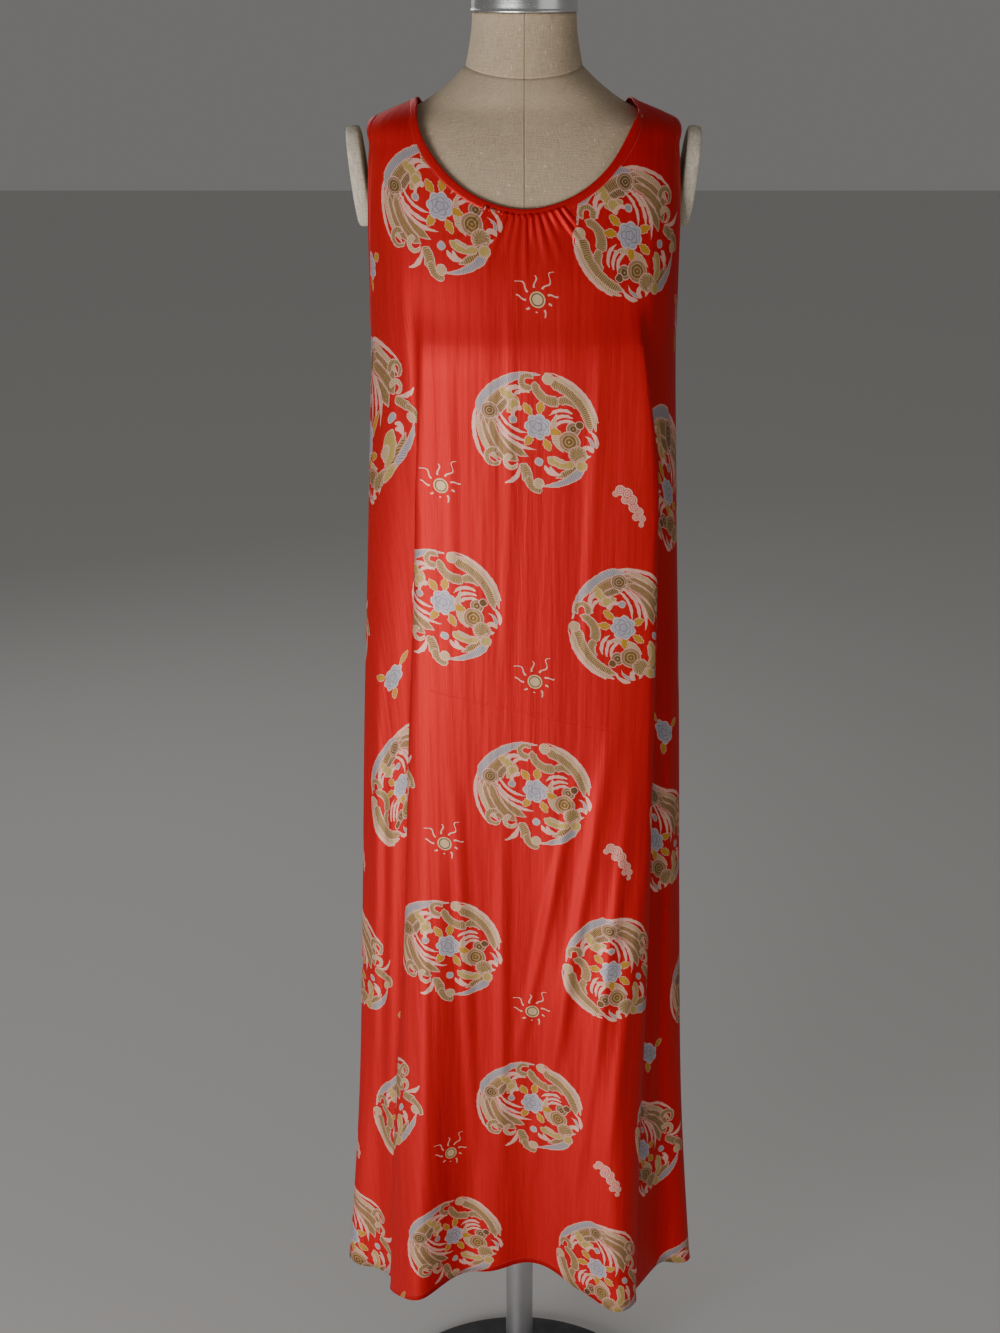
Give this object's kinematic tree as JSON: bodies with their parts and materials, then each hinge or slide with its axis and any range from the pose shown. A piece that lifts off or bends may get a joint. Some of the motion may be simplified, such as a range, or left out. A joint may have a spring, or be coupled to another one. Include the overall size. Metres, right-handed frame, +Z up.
{
  "type": "sleeveless maxi dress on a limbless dress form",
  "caption": "Long sleeveless red satin dress with a scooped bound neckline, hanging on a linen-covered limbless dress form with a pole and a round base.",
  "frame": {"origin": "middle of the underside of the round base, on the floor", "axes": "+Z up along the pole, -Y the way the front of the dress faces, +X to the right of someone who looks at the front"},
  "size_m": [0.4086, 0.36, 1.6793],
  "materials": {
    "satin": "thin red satin with a soft sheen",
    "linen": "natural linen cover, matt",
    "canvas": "cream canvas cover, matt",
    "aluminium": "polished",
    "iron": "black enamel",
    "steel": "satin tube"
  },
  "bodies": {
    "root": {"dress_front": "satin", "dress_back": "satin", "neck_binding": "satin", "armhole_binding_left": "satin", "armhole_binding_right": "satin", "form_torso": "linen", "form_neck": "linen", "form_neck_cap": "aluminium", "form_arm_plate_left": "canvas", "form_arm_plate_right": "canvas", "stand_base": "iron", "stand_hub": "iron", "stand_pole": "steel", "stand_collar": "iron"}
  },
  "joints": []
}
